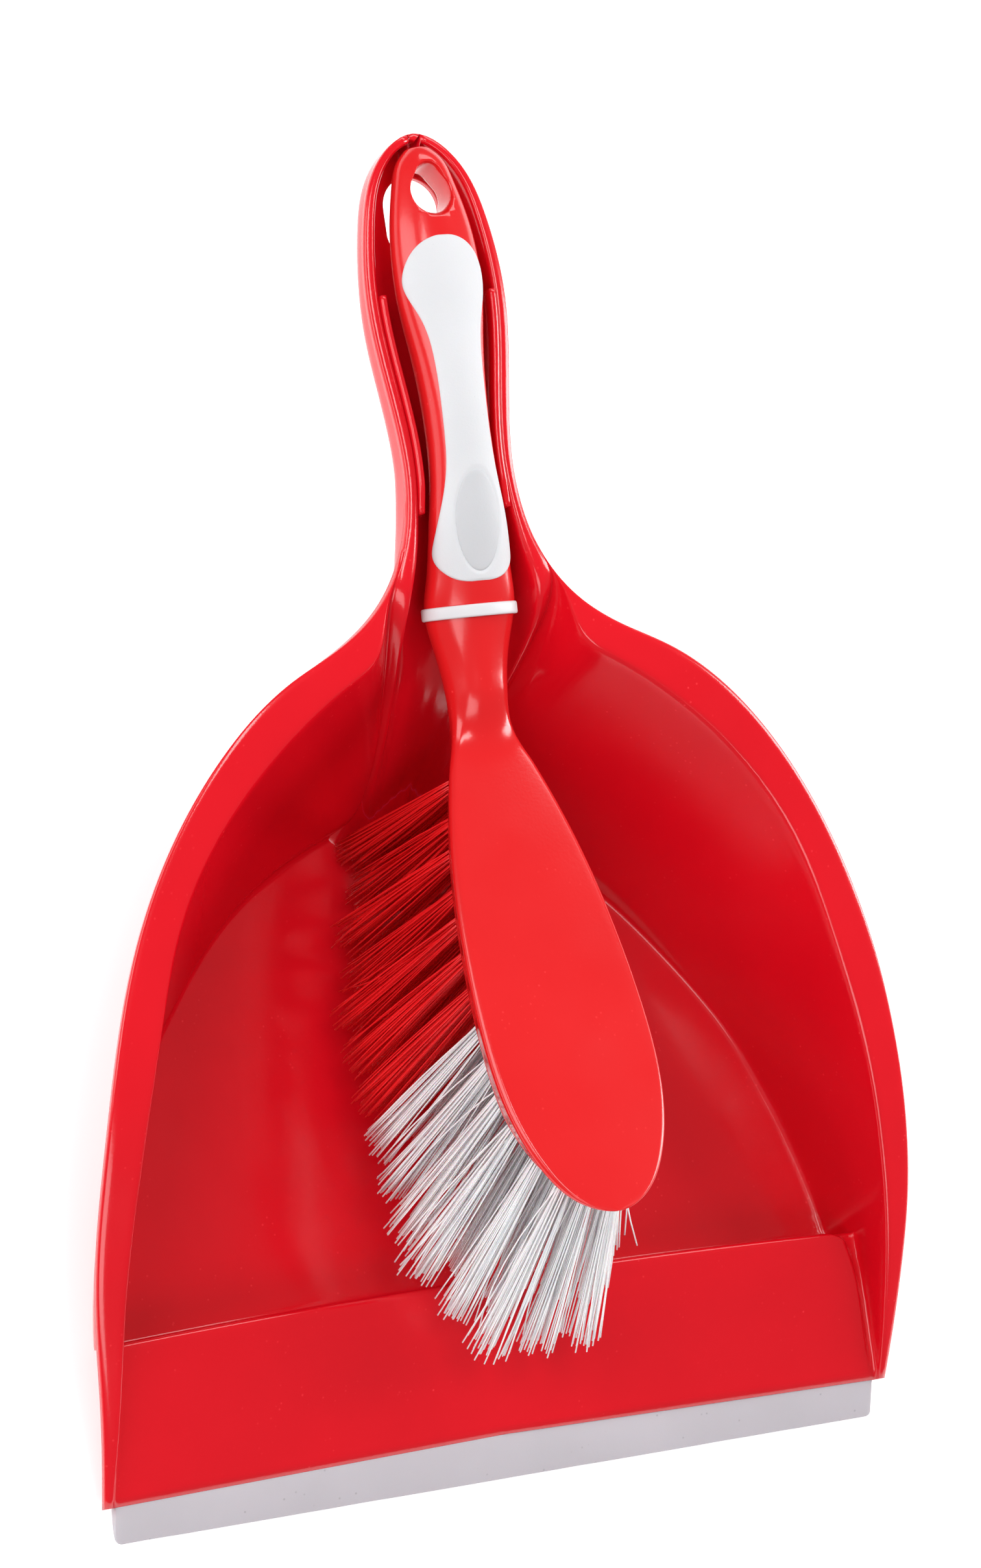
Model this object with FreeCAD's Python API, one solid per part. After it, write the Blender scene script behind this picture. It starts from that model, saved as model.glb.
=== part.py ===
# Dust pan with a hand brush that lies in the channel of its handle.
# Lengths are in millimetres. While it is built, the model stands on z = 0 with
# the front edge of the lip on y = 0 and the handle towards +Y; the finished
# pieces are then moved back by half the length, so that the origin is the
# middle of the footprint.
import FreeCAD, Part
import math
import os
from FreeCAD import Vector

os.makedirs("parts", exist_ok=True)
doc = FreeCAD.newDocument("dust_pan_and_brush")
sheet = doc.addObject("Spreadsheet::Sheet", "dims")

DIMENSIONS = {
    "pan_length": 334.0,        # lip edge to the end of the handle
    "lip_width": 218.0,
    "lip_depth": 11.0,          # visible depth of the rubber strip
    "wall": 2.4,                # moulding thickness of the pan
    "crest_back": 52.0,         # rear face of the crest, on the centre line
    "crest_bow": 1.8,           # how far the crest's middle lies behind its ends
    "corner_width": 8.0,        # rounded rear corners of the ramp
    "gutter_drop": 4.5,         # how far the gutter beside the ramp lies below it
    "gutter_run": 30.0,         # length over which the gutter reaches its drop
    "loft_height": 95.0,        # height at which the upper wall outline is given
    "recess_top": 24.0,         # top of the solid from which the recess is cut
    "channel_low": 50.0,        # height at which the lower channel outline is given
    "rib_front": 238.0,
    "rib_back": 293.0,
    "rib_width": 1.7,
    "rib_rise": 0.8,            # ribs stand this much above the rim
    "slot_width": 16.0,         # hanging slot in the pan's handle
    "slot_length": 22.0,
    "slot_centre": 314.0,
    "grip_skin": 1.6,           # thickness of the soft grip
    "grip_wrap": 1.5,           # how far the grip reaches below the handle's middle
    "pad_drop": 0.5,            # thumb pad below the grip's surface
    "pad_length": 24.0,
    "pad_width": 12.0,
    "pad_centre": 235.0,
    "ring_width": 3.2,
    "ring_centre": 213.6,
    "ring_height": 71.0,
    "ring_half_width": 12.9,
    "ring_half_height": 8.4,
    "ring_section": 1.8,        # radial thickness of the neck ring
    "ring_tilt": 10.0,
    "head_tilt": 11.1,          # slope of the brush head, in degrees
    "head_y": 172.0,            # reference point on the head's top face
    "head_z": 69.2,
    "head_thickness": 11.0,
    "head_inset": 3.0,          # how far the underside is set in all round
    "tuft_length": 53.5,        # free length of the first row
    "tuft_growth": 0.35,        # extra length of each row after it
    "tuft_seat": 6.0,           # length of a tuft inside its hole
    "tuft_root": 2.0,           # radius of a tuft at its root
    "tuft_tip": 3.1,            # radius of a tuft at its tip
    "tuft_clearance": 0.1,
    "row_pitch": 8.95,
    "first_row": 1.8,           # place of the first row along the head
    "tuft_pitch": 7.0,          # spacing across the head
    "anchor_width": 3.4,
    "anchor_height": 1.7,
    "anchor_thickness": 0.4,
}
for row, (alias, value) in enumerate(DIMENSIONS.items(), start=1):
    sheet.set("A%d" % row, alias)
    sheet.set("B%d" % row, str(value))
    sheet.setAlias("B%d" % row, alias)
doc.recompute()


def size(alias):
    """A driving dimension, read back from the spreadsheet."""
    return float(getattr(sheet, alias))


# ---------------------------------------------------------------- outlines
# Half outlines run from the front to the back on the +X side; the other half
# is their mirror image. Heights along the pan are given by (y, z) points.

WALL_FOOT = [(112.0, -30.0), (109.3, 10.0), (106.6, 30.0), (104.3, 48.7), (100.8, 67.4),
             (94.0, 89.0), (83.6, 111.3), (69.9, 129.1), (40.1, 157.1), (16.3, 167.3), (0.0, 171.1)]
WALL_TOP = [(127.0, -30.0), (122.3, 10.0), (120.5, 30.0), (118.2, 48.7), (115.6, 67.2),
            (112.0, 88.9), (104.9, 122.6), (98.7, 151.3), (64.3, 191.6), (32.6, 211.2), (0.0, 219.7)]
RECESS = [(104.6, 60.0), (101.4, 67.6), (95.1, 89.3), (85.3, 112.2), (72.7, 131.2),
          (57.2, 149.8), (43.0, 161.3), (18.5, 173.3), (0.0, 178.0)]
FLANGE = [(112.4, 9.0), (114.3, 35.0), (115.7, 57.0), (111.2, 97.0), (100.4, 139.0),
          (76.3, 180.0), (53.2, 199.4), (30.2, 212.1), (18.2, 229.0), (15.2, 253.0),
          (19.2, 290.5), (17.0, 312.0), (10.6, 327.5), (0.0, 334.0)]
CHANNEL_TOP = [(45.6, 200.5), (34.2, 205.6), (22.0, 215.5), (15.5, 228.0), (12.4, 253.0),
               (16.2, 291.0), (14.2, 312.0), (9.2, 325.5), (0.0, 331.8)]
CHANNEL_LOW = [(12.5, 200.5), (12.6, 205.6), (12.8, 215.5), (12.9, 228.0), (11.4, 253.0),
               (15.0, 291.0), (13.2, 312.0), (8.6, 325.0), (0.0, 331.2)]
RAMP_SIDE = [(109.0, 10.7), (106.0, 22.0), (104.0, 31.0), (101.6, 40.0)]
RIM_HEIGHT = [(-30.0, -21.0), (8.0, 5.8), (22.5, 15.3), (44.0, 27.0), (65.5, 36.6), (86.0, 45.0),
              (107.5, 51.8), (139.0, 59.0), (170.0, 67.0), (199.0, 74.4), (216.0, 77.0),
              (245.0, 80.4), (290.0, 85.6), (345.0, 90.4)]
CHANNEL_FLOOR = [(190.0, 48.0), (205.0, 56.2), (216.0, 61.2), (234.0, 68.0), (256.0, 72.5),
                 (282.0, 75.9), (300.0, 78.7), (345.0, 82.6)]
RAMP_HEIGHT = [(-8.0, -2.9), (10.9, 5.7), (25.0, 11.8), (40.0, 17.3), (52.5, 19.4)]

HEAD = [(7.6, 22.0), (8.0, 17.2), (12.5, 0.0), (18.2, -22.5), (21.6, -47.0), (22.8, -67.0),
        (21.6, -88.0), (16.5, -104.4), (10.0, -113.5), (0.0, -117.4)]

# Stations of the brush handle: y, height of the middle, half width, half height.
HANDLE = [(330.2, 89.3, 3.0, 2.4), (327.5, 89.2, 5.8, 4.4), (322.0, 89.0, 8.4, 5.8),
          (312.0, 88.6, 10.8, 6.8), (300.0, 87.8, 12.1, 7.7), (291.0, 86.8, 11.9, 8.2),
          (280.0, 85.5, 10.4, 8.5), (268.0, 84.2, 9.1, 8.6), (256.0, 82.7, 8.7, 8.6),
          (245.0, 81.0, 9.3, 8.5), (234.0, 78.4, 10.6, 8.3), (224.0, 74.9, 11.6, 8.1),
          (213.6, 71.0, 12.2, 7.7), (205.0, 68.6, 10.2, 7.0), (196.0, 67.0, 8.5, 6.4),
          (186.0, 65.8, 8.0, 5.8), (168.0, 64.6, 8.6, 4.6)]
# Half outline of the soft grip, seen from above.
GRIP = [(0.0, 305.5), (7.5, 303.0), (11.2, 295.5), (8.5, 285.0), (6.5, 272.0), (6.3, 258.0),
        (7.2, 246.0), (9.1, 237.0), (9.7, 230.5), (6.9, 223.5), (0.0, 220.5)]

# Tufts in each row, from the handle towards the tip, by colour.
RED_ROWS = [3, 3, 4, 4, 5, 5, 5]
WHITE_ROWS = [5, 5, 5, 5, 4, 3]


# ---------------------------------------------------------------- curve helpers
def spline(points):
    curve = Part.BSplineCurve()
    curve.interpolate([Vector(*p) for p in points])
    return curve.toShape()


def mirrored(half):
    """A half outline from front to back, followed by its mirror image."""
    return half + [(-x, y) for x, y in reversed(half[:-1])]


def open_outline(half, z, front=None, grow=0.0):
    """Closed wire at height z: a curve through the mirrored half outline and a
    straight front edge, at y = front where that is given."""
    points = [(x, y, z) for x, y in mirrored(grown(half, grow))]
    edges = [spline(points)]
    corners = [points[-1], points[0]]
    if front is not None:
        corners = [points[-1], (points[-1][0], front, z), (points[0][0], front, z), points[0]]
    for start, end in zip(corners, corners[1:]):
        edges.append(Part.makeLine(Vector(*start), Vector(*end)))
    return Part.Wire(edges)


def grown(half, distance):
    """A half outline moved outwards by a distance, point by point."""
    side = 1 if half[-1][1] > half[0][1] else -1
    moved = []
    for i, (x, y) in enumerate(half):
        before = half[max(i - 1, 0)]
        after = half[min(i + 1, len(half) - 1)]
        along = Vector(after[0] - before[0], after[1] - before[1], 0)
        if i == len(half) - 1:
            along = Vector(-side, 0, 0)
        out = Vector(along.y * side, -along.x * side, 0).normalize()
        moved.append((x + out.x * distance, y + out.y * distance))
    return moved


def feature(name, shape):
    item = doc.addObject("Part::Feature", name)
    item.Shape = shape
    return item


def loft(name, wires, ruled=True):
    return feature(name, Part.makeLoft(wires, True, ruled))


def prism(name, wire, low, high):
    """Vertical prism over a closed wire drawn at height zero."""
    face = Part.Face(wire)
    face.translate(Vector(0, 0, low))
    return feature(name, face.extrude(Vector(0, 0, high - low)))


def below(name, profile, shift=0.0, reach=160.0, deep=-60.0):
    """Everything under a height profile: a curve through (y, z) points, closed
    downwards and extruded across the whole width."""
    points = [(-reach, y, z + shift) for y, z in profile]
    first, last = points[0], points[-1]
    low_last = (-reach, last[1], deep)
    low_first = (-reach, first[1], deep)
    edges = [spline(points)]
    for start, end in ((last, low_last), (low_last, low_first), (low_first, first)):
        edges.append(Part.makeLine(Vector(*start), Vector(*end)))
    face = Part.Face(Part.Wire(edges))
    return feature(name, face.extrude(Vector(2 * reach, 0, 0)))


def box(name, low, high):
    item = doc.addObject("Part::Box", name)
    item.Length, item.Width, item.Height = (b - a for a, b in zip(low, high))
    item.Placement.Base = Vector(*low)
    return item


def cut(name, base, tool):
    item = doc.addObject("Part::Cut", name)
    item.Base, item.Tool = base, tool
    return item


def fuse(name, items):
    item = doc.addObject("Part::MultiFuse", name)
    item.Shapes = items
    return item


def common(name, items):
    item = doc.addObject("Part::MultiCommon", name)
    item.Shapes = items
    return item


# ---------------------------------------------------------------- pan body
WIDE = 160.0


def pan_walls():
    """Outer solid and inner space of the tray's sloping walls."""
    top = size("loft_height")
    wall = size("wall")
    inner = loft("tray_space", [open_outline(WALL_FOOT, 0.0), open_outline(WALL_TOP, top)])
    outer = loft("tray_solid", [open_outline(WALL_FOOT, 0.0, grow=wall),
                                open_outline(WALL_TOP, top, grow=wall)])
    return outer, inner


def recess_outline(grow=0.0):
    """Plan of the recess behind the ramp, straight across its front."""
    front = size("crest_back") - grow
    half = [(104.9, front + 4.0)] + RECESS[1:]
    return open_outline(half, 0.0, front=front, grow=grow)


# Middle of the ramp's corner arc, from the crossing of its side and its crest.
CORNER_MIDDLE = (-1.9, -4.6)


def ramp_outline(inset):
    """Plan of the raised ramp: tapering sides, rounded corners, bowed crest."""
    back = size("crest_back") - inset
    side = [(x - inset, y, 0.0) for x, y in RAMP_SIDE]
    corner = (side[-1][0] - size("corner_width"), back - size("crest_bow"), 0.0)
    left = [(-x, y, z) for x, y, z in reversed(side)]
    left_corner = (-corner[0], corner[1], 0.0)
    start = (side[0][0], -20.0, 0.0)
    end = (-start[0], -20.0, 0.0)
    round_mid = (side[-1][0] + CORNER_MIDDLE[0], back + CORNER_MIDDLE[1], 0.0)
    left_mid = (-round_mid[0], round_mid[1], 0.0)
    edges = [
        Part.makeLine(Vector(*start), Vector(*side[0])),
        spline(side),
        Part.Arc(Vector(*side[-1]), Vector(*round_mid), Vector(*corner)).toShape(),
        Part.Arc(Vector(*corner), Vector(0, back, 0), Vector(*left_corner)).toShape(),
        Part.Arc(Vector(*left_corner), Vector(*left_mid), Vector(*left[0])).toShape(),
        spline(left),
        Part.makeLine(Vector(*left[-1]), Vector(*end)),
        Part.makeLine(Vector(*end), Vector(*start)),
    ]
    return Part.Wire(edges)


def gutter_height():
    """The ramp's profile lowered by a drop that grows from nothing at the lip."""
    lip = size("lip_depth")
    drop = size("gutter_drop")
    run = size("gutter_run")
    return [(y, z - drop * min(max((y - lip) / run, 0.0), 1.0)) for y, z in RAMP_HEIGHT]


def channel_solid(name, grow):
    low = open_outline(CHANNEL_LOW, size("channel_low"), front=188.0, grow=grow)
    high = open_outline(CHANNEL_TOP, size("loft_height"), front=188.0, grow=grow)
    return loft(name, [low, high])


def make_pan_body():
    wall = size("wall")
    back = size("crest_back")
    outer, inner = pan_walls()
    under_rim = below("under_rim", RIM_HEIGHT)
    under_flange = below("under_flange", RIM_HEIGHT, -wall)
    under_ramp = below("under_ramp", RAMP_HEIGHT)
    under_gutter = below("under_gutter", gutter_height())

    # Solid stock: tray, recess, handle channel and the flange around the rim.
    recess = prism("recess_solid", recess_outline(wall), 0.0, size("recess_top"))
    channel_stock = channel_solid("channel_stock", wall)
    under_channel = below("under_channel", CHANNEL_FLOOR, -wall)
    channel = cut("channel_wall", channel_stock, under_channel)
    stock = common("stock", [fuse("stock_parts", [outer, recess, channel]), under_rim])
    flange_wire = open_outline(FLANGE, 0.0)
    flange_column = prism("flange_column", flange_wire, -10.0, size("loft_height"))
    flange = cut("flange", common("flange_block", [flange_column, under_rim]), under_flange)
    solid = fuse("pan_solid", [stock, flange])

    # Space above the moulding.
    front_half = box("front_half", (-WIDE, -60.0, -60.0), (WIDE, back, 140.0))
    hump = common("hump", [prism("hump_column", ramp_outline(0.0), -30.0, 60.0), under_ramp])
    front_air = cut("front_air", cut("front_space", common("front_part", [inner, front_half]),
                                     under_gutter), hump)
    back_half = box("back_half", (-WIDE, back, wall), (WIDE, 360.0, 140.0))
    recess_air = prism("recess_air", recess_outline(), wall, size("recess_top") + 8.0)
    back_air = common("back_air", [fuse("back_space", [inner, recess_air]), back_half])
    floor_cut = below("floor_cut", CHANNEL_FLOOR)
    channel_air = cut("channel_air", channel_solid("channel_space", 0.0), floor_cut)

    # Space below the ramp, which is open underneath.
    front_under = box("front_under", (-WIDE, -60.0, -60.0), (WIDE, back - wall, 140.0))
    under_skin = below("under_skin", [(y, z - wall) for y, z in gutter_height()])
    belly = common("belly", [under_skin, front_under])
    hump_inside = common("hump_inside", [
        prism("hump_inner_column", ramp_outline(wall), -30.0, 60.0),
        below("under_ramp_skin", RAMP_HEIGHT, -wall)])
    hollow = fuse("hollow", [belly, hump_inside])

    # Seat that takes the rubber lip, and everything in front of it.
    lip_space = box("lip_space", (-WIDE, -60.0, -60.0), (WIDE, size("lip_depth"), 60.0))
    lip_cheek = common("lip_cheek", [lip_space, prism("lip_plan", ramp_outline(0.0), -60.0, 90.0)])
    front_trim = box("front_trim", (-WIDE, -60.0, -60.0), (WIDE, 9.0, 140.0))

    slot = hanging_slot()
    air = fuse("air", [front_air, back_air, channel_air, hollow, lip_cheek, front_trim, slot])
    shell = cut("pan_shell", solid, air)
    body = fuse("pan_body", [shell, retaining_ribs(), lip_tongue("lip_tongue")])
    return body


def hanging_slot():
    half = size("slot_width") / 2
    reach = size("slot_length") / 2 - half
    middle = size("slot_centre")
    ends = [Vector(half, middle - reach, 0), Vector(half, middle + reach, 0),
            Vector(-half, middle + reach, 0), Vector(-half, middle - reach, 0)]
    wire = Part.Wire([
        Part.makeLine(ends[0], ends[1]),
        Part.Arc(ends[1], Vector(0, middle + reach + half, 0), ends[2]).toShape(),
        Part.makeLine(ends[2], ends[3]),
        Part.Arc(ends[3], Vector(0, middle - reach - half, 0), ends[0]).toShape()])
    return prism("hanging_slot", wire, 60.0, 100.0)


def retaining_ribs():
    """A rib along each side of the channel, which holds the brush handle."""
    band = cut("rib_band", channel_solid("rib_outer", 0.2), channel_solid("rib_inner",
                                                                          -size("rib_width")))
    span = box("rib_span", (-30.0, size("rib_front"), 40.0), (30.0, size("rib_back"), 110.0))
    under = below("under_rib", RIM_HEIGHT, size("rib_rise"))
    column = common("rib_column", [band, span, under])
    return cut("ribs", column, below("rib_foot", CHANNEL_FLOOR, -0.4))


def ramp_z(y):
    """Height of the ramp's straight front part."""
    (y0, z0), (y1, z1) = RAMP_HEIGHT[0], RAMP_HEIGHT[1]
    return z0 + (z1 - z0) * (y - y0) / (y1 - y0)


def strip(name, points):
    """A (y, z) section extruded across the width of the lip."""
    half = size("lip_width") / 2
    wire = Part.makePolygon([Vector(-half, y, z) for y, z in points + points[:1]])
    return feature(name, Part.Face(wire).extrude(Vector(2 * half, 0, 0)))


TONGUE_FRONT = 4.0
TONGUE_OVERLAP = 0.5            # how far the tongue runs back into the moulding
TONGUE_TOP = -1.0               # its two faces, from the lip's upper surface
TONGUE_BOTTOM = -2.2


def lip_tongue(name):
    """Thin tongue of the moulding that reaches forward inside the lip."""
    back = size("lip_depth") + TONGUE_OVERLAP
    section = [(TONGUE_FRONT, ramp_z(TONGUE_FRONT) + TONGUE_TOP),
               (back, ramp_z(size("lip_depth")) + TONGUE_TOP),
               (back, ramp_z(size("lip_depth")) + TONGUE_BOTTOM),
               (TONGUE_FRONT, ramp_z(TONGUE_FRONT) + TONGUE_BOTTOM)]
    return strip(name, section)


# ---------------------------------------------------------------- rubber lip
def make_pan_lip():
    """Rubber strip over the tongue, wedge-shaped towards the floor."""
    depth = size("lip_depth")
    top = ramp_z(depth)
    section = [(0.0, 0.0), (0.0, ramp_z(0.0)), (depth, top), (depth, top - 3.6),
               (TONGUE_FRONT, 0.0)]
    return cut("pan_lip", strip("lip_strip", section), lip_tongue("tongue_seat"))


# ---------------------------------------------------------------- brush
def handle_loft(name, inset):
    wires = []
    for y, z, half_width, half_height in HANDLE:
        ellipse = Part.Ellipse(Vector(0, y, z), max(half_width - inset, 0.8),
                               max(half_height - inset, 0.7))
        ellipse.rotate(FreeCAD.Placement(Vector(0, y, z),
                                         FreeCAD.Rotation(Vector(1, 0, 0), 90), Vector(0, 0, 0)))
        wires.append(Part.Wire([ellipse.toShape()]))
    return loft(name, wires, ruled=False)


def head_placement():
    return FreeCAD.Placement(Vector(0, size("head_y"), size("head_z")),
                             FreeCAD.Rotation(Vector(1, 0, 0), -size("head_tilt")))


def head_block():
    """Paddle-shaped head with its side walls drawn in towards the underside."""
    low = open_outline(HEAD, -size("head_thickness"), grow=-size("head_inset"))
    middle = open_outline(HEAD, -4.0)
    high = open_outline(HEAD, 0.0)
    block = Part.makeLoft([low, middle], True, True).fuse(Part.makeLoft([middle, high], True, True))
    item = feature("head_block", block.removeSplitter())
    item.Placement = head_placement()
    return item


def row_layout():
    """Name, place along the head, tuft count and free length of every row."""
    rows = []
    counts = [("red", n, c) for n, c in enumerate(RED_ROWS, start=1)]
    counts += [("white", n, c) for n, c in enumerate(WHITE_ROWS, start=1)]
    for index, (colour, number, count) in enumerate(counts):
        along = size("first_row") - index * size("row_pitch")
        length = size("tuft_length") + index * size("tuft_growth")
        rows.append(("%s_tuft_row_%d" % (colour, number), along, count, length))
    return rows


FAN_MIDDLE = -15.0
FAN_PER_MM = 0.27
SPREAD_PER_MM = 0.8


def tuft_axes(along, count):
    """Root point and direction of each tuft in a row, in the head's own frame."""
    axes = []
    lean = math.radians((along - FAN_MIDDLE) * FAN_PER_MM)
    for i in range(count):
        x = (i - (count - 1) / 2) * size("tuft_pitch")
        spread = math.radians(x * SPREAD_PER_MM)
        direction = Vector(math.tan(spread), math.tan(lean), -1).normalize()
        axes.append((Vector(x, along, -size("head_thickness")), direction))
    return axes


def tuft_shape(root, direction, length):
    seat = size("tuft_seat")
    plug = Part.makeCylinder(size("tuft_root"), seat, root - direction * seat, direction)
    brush = Part.makeCone(size("tuft_root"), size("tuft_tip"), length, root, direction)
    return plug.fuse(brush).removeSplitter()


def make_tuft_row(name, along, count, length):
    shapes = [tuft_shape(root, direction, length)
              for root, direction in tuft_axes(along, count)]
    row = feature(name, Part.makeCompound(shapes))
    row.Placement = head_placement()
    return row


def tuft_holes():
    """Blind holes for the tufts, deep enough for the anchors behind them."""
    shapes = []
    depth = size("tuft_seat") + size("anchor_height") + 0.2
    for _, along, count, _ in row_layout():
        for root, direction in tuft_axes(along, count):
            shapes.append(Part.makeCylinder(size("tuft_root") + size("tuft_clearance"), depth + 4.0,
                                            root - direction * depth, direction))
    item = feature("tuft_holes", Part.makeCompound(shapes))
    item.Placement = head_placement()
    return item


def make_tuft_anchors():
    """Flat wire anchors at the bottom of the holes."""
    shapes = []
    width, height, thick = size("anchor_width"), size("anchor_height"), size("anchor_thickness")
    for _, along, count, _ in row_layout():
        for root, direction in tuft_axes(along, count):
            plate = Part.makeBox(width, thick, height, Vector(-width / 2, -thick / 2, 0.1))
            turn = FreeCAD.Rotation(Vector(0, 0, 1), -direction)
            plate.Placement = FreeCAD.Placement(root - direction * size("tuft_seat"), turn)
            shapes.append(plate)
    anchors = feature("tuft_anchors", Part.makeCompound(shapes))
    anchors.Placement = head_placement()
    return anchors


def hanging_hole():
    """Egg-shaped hole, wider towards the grip."""
    wide, narrow = 5.6, 3.4
    wide_y, narrow_y = 317.4, 321.4
    gap = narrow_y - wide_y
    rise = (wide - narrow) / gap
    across = math.sqrt(1 - rise * rise)
    low = Vector(wide * across, wide_y + wide * rise, 0)
    high = Vector(narrow * across, narrow_y + narrow * rise, 0)
    wire = Part.Wire([
        Part.makeLine(low, high),
        Part.Arc(high, Vector(0, narrow_y + narrow, 0), Vector(-high.x, high.y, 0)).toShape(),
        Part.makeLine(Vector(-high.x, high.y, 0), Vector(-low.x, low.y, 0)),
        Part.Arc(Vector(-low.x, low.y, 0), Vector(0, wide_y - wide, 0), low).toShape()])
    return prism("hanging_hole", wire, 70.0, 110.0)


def ellipse_bar(name, half_width, half_height, length):
    """Elliptical bar across the neck, square to the handle there."""
    ellipse = Part.Ellipse(Vector(0, 0, 0), half_width, half_height)
    bar = Part.Face(Part.Wire([ellipse.toShape()])).extrude(Vector(0, 0, length))
    item = feature(name, bar)
    turn = FreeCAD.Rotation(Vector(1, 0, 0), 90 + size("ring_tilt"))
    middle = Vector(0, size("ring_centre"), size("ring_height"))
    item.Placement = FreeCAD.Placement(middle - turn.multVec(Vector(0, 0, length / 2)), turn)
    return item


def make_neck_ring():
    width = size("ring_half_width")
    height = size("ring_half_height")
    section = size("ring_section")
    outer = ellipse_bar("ring_outer", width, height, size("ring_width"))
    inner = ellipse_bar("ring_inner", width - section, height - section, size("ring_width") * 2)
    return cut("neck_ring", outer, inner), cut("ring_seat", outer, inner)


def grip_column():
    points = GRIP + [(-x, y) for x, y in reversed(GRIP[1:-1])]
    curve = Part.BSplineCurve()
    curve.interpolate([Vector(x, y, 0) for x, y in points], PeriodicFlag=True)
    return prism("grip_column", Part.Wire([curve.toShape()]), 0.0, 60.0)


def pad_column():
    ellipse = Part.Ellipse(Vector(0, 0, 0), size("pad_length") / 2, size("pad_width") / 2)
    shape = ellipse.toShape()
    shape.rotate(Vector(0, 0, 0), Vector(0, 0, 1), 90)
    shape.translate(Vector(0, size("pad_centre"), 0))
    return prism("pad_column", Part.Wire([shape]), 0.0, 120.0)


def above_middle():
    """Everything above a line a little under the middle of the brush handle."""
    middle = below("below_middle", [(y, z) for y, z, _, _ in reversed(HANDLE)],
                   -size("grip_wrap"))
    room = box("handle_room", (-40.0, 168.1, 40.0), (40.0, 330.1, 120.0))
    return cut("above_middle", room, middle)


def make_brush():
    outer = handle_loft("handle_outer", 0.0)
    core = handle_loft("handle_core", size("grip_skin"))
    sunk = handle_loft("handle_sunk", size("pad_drop"))
    column = grip_column()
    column.Placement.Base = Vector(0, 0, 60.0)
    upper = above_middle()
    grip_space = cut("grip_space", common("grip_block", [outer, column, upper]), core)
    pad_space = pad_column()
    grip = cut("handle_grip", grip_space, pad_space)
    pad = cut("thumb_pad", common("pad_block", [sunk, pad_space, upper]), core)
    ring, ring_seat = make_neck_ring()
    blank = fuse("brush_blank", [outer, head_block()])
    tools = fuse("brush_cuts", [grip_space, ring_seat, tuft_holes(), hanging_hole()])
    body = cut("brush_body", blank, tools)
    return [body, grip, pad, ring]


# ---------------------------------------------------------------- build
def finish(item):
    """Move a finished piece so that the footprint is centred on the origin."""
    place = item.Placement
    place.Base = place.Base + Vector(0, -size("pan_length") / 2, 0)
    item.Placement = place
    item.Label = item.Name


pieces = [make_pan_body()]
doc.recompute()
pieces.append(make_pan_lip())
pieces += make_brush()
pieces += [make_tuft_row(*row) for row in row_layout()]
pieces.append(make_tuft_anchors())
doc.recompute()
for piece in pieces:
    finish(piece)
doc.recompute()

for item in doc.Objects:
    if "Invalid" in item.State or "Error" in item.State:
        raise SystemExit("%s failed: %s" % (item.Name, item.State))
for piece in pieces:
    if piece.Shape.isNull() or not piece.Shape.isValid():
        raise SystemExit("%s has no valid shape" % piece.Label)
    print(piece.Label, len(piece.Shape.Solids), round(piece.Shape.Volume))
    piece.Shape.exportStep("parts/%s.step" % piece.Label)
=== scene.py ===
"""Looks of the dust pan and brush set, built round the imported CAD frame.

Tables are in millimetres, with y measured from the front edge of the lip; the
finished vertices are moved into the frame by the lip's own place there.
"""
import math

import bmesh
import bpy
import numpy as np
from mathutils import Matrix, Vector


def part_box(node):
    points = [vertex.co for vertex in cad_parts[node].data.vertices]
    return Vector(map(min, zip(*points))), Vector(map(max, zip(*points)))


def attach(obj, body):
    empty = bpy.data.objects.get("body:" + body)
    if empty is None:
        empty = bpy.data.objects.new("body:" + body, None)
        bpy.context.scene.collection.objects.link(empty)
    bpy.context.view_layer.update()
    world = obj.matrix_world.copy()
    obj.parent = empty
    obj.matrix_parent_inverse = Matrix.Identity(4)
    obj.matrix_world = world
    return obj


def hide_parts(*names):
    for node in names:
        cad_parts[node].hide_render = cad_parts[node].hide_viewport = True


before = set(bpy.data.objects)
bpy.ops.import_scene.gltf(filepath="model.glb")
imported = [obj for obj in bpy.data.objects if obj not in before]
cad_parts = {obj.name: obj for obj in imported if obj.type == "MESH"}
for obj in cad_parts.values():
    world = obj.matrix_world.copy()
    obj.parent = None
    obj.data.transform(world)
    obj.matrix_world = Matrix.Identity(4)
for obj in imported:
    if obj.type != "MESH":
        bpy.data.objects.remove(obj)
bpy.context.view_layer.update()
MM = 0.001
LIP_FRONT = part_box("pan_lip")[0].y / MM      # the lip's front edge in the frame

# ------------------------------------------------------------------ the shape's tables
WALL_FOOT = [(112.0, -30.0), (109.3, 10.0), (106.6, 30.0), (104.3, 48.7), (100.8, 67.4),
             (94.0, 89.0), (83.6, 111.3), (69.9, 129.1), (40.1, 157.1), (16.3, 167.3),
             (0.0, 171.1)]
WALL_TOP = [(127.0, -30.0), (122.3, 10.0), (120.5, 30.0), (118.2, 48.7), (115.6, 67.2),
            (112.0, 88.9), (104.9, 122.6), (98.7, 151.3), (64.3, 191.6), (32.6, 211.2),
            (0.0, 219.7)]
WALL_TOP_Z = 95.0
RECESS = [(103.9, 54.0), (101.4, 67.6), (95.1, 89.3), (85.3, 112.2), (72.7, 131.2),
          (57.2, 149.8), (43.0, 161.3), (18.5, 173.3), (0.0, 178.0)]
FLANGE = [(112.4, 9.0), (114.3, 35.0), (115.6, 57.0), (111.2, 97.0), (100.4, 139.0),
          (76.3, 180.0), (53.2, 199.4), (30.2, 212.1), (18.2, 229.0), (15.2, 253.0),
          (19.2, 290.5), (17.0, 312.0), (10.6, 327.5), (0.0, 334.0)]
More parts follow.
